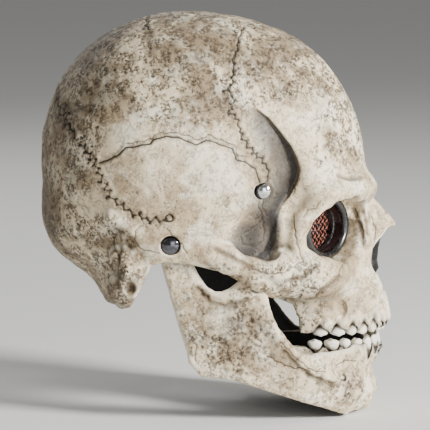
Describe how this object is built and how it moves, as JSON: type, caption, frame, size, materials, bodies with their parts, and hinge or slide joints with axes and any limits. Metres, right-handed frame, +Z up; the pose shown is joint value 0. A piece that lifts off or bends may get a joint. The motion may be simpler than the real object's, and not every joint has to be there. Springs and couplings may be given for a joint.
{
  "type": "latex halloween mask",
  "caption": "Full-head latex skull mask with a hinged jaw sprung shut by two straps, meshed eye cups, tooth rows, rivets, head band and fitting pads.",
  "frame": {"origin": "middle of the line between the two jaw pivots, level with the wearer's ears", "axes": "+Z up, -Y the way the face looks, +X the wearer's left"},
  "size_m": [0.176, 0.2435, 0.27],
  "materials": {
    "bone_latex": "matt cast latex, aged bone paint with dark wash in the recesses",
    "tooth_enamel": "satin ivory paint",
    "black_latex": "matt black latex",
    "gloss_black_rubber": "gloss black",
    "eye_mesh": "dark wire with copper glints",
    "chrome": "polished",
    "dark_chrome": "polished, tarnished",
    "plated_steel": "satin",
    "brass": "satin",
    "black_elastic": "woven elastic",
    "foam": "open-cell foam"
  },
  "bodies": {
    "skull": {"skull_shell": "bone_latex", "upper_tooth_row": "tooth_enamel", "nose_insert": "black_latex", "head_band": "black_elastic", "forehead_pad": "foam", "crown_pad": "foam", "rear_pad": "foam", "eye_cup_right": "gloss_black_rubber", "eye_mesh_right": "eye_mesh", "temple_rivet_right": "chrome", "hinge_rivet_right": "dark_chrome", "temple_rivet_back_right": "plated_steel", "hinge_rivet_back_right": "plated_steel", "hinge_washer_right": "plated_steel", "side_pad_right": "foam", "jaw_elastic_right": "black_elastic", "eye_cup_left": "gloss_black_rubber", "eye_mesh_left": "eye_mesh", "temple_rivet_left": "chrome", "hinge_rivet_left": "dark_chrome", "temple_rivet_back_left": "plated_steel", "hinge_rivet_back_left": "plated_steel", "hinge_washer_left": "plated_steel", "side_pad_left": "foam", "jaw_elastic_left": "black_elastic"},
    "jaw": {"jaw_shell": "bone_latex", "lower_tooth_row": "tooth_enamel", "chin_pad": "foam", "chin_strap": "black_elastic", "hinge_eyelet_right": "brass", "hinge_eyelet_left": "brass", "elastic_rivet_right": "dark_chrome", "elastic_rivet_left": "dark_chrome"}
  },
  "joints": [
    {"name": "jaw_hinge", "type": "hinge", "parent": "skull", "child": "jaw", "pos_m": [0, 0, 0], "axis": [1, 0, 0], "range_deg": [0, 18], "stiffness_Nm_per_rad": 0.5, "springref_deg": -28.65, "deforming": ["jaw_elastic_right", "jaw_elastic_left"]}
  ]
}
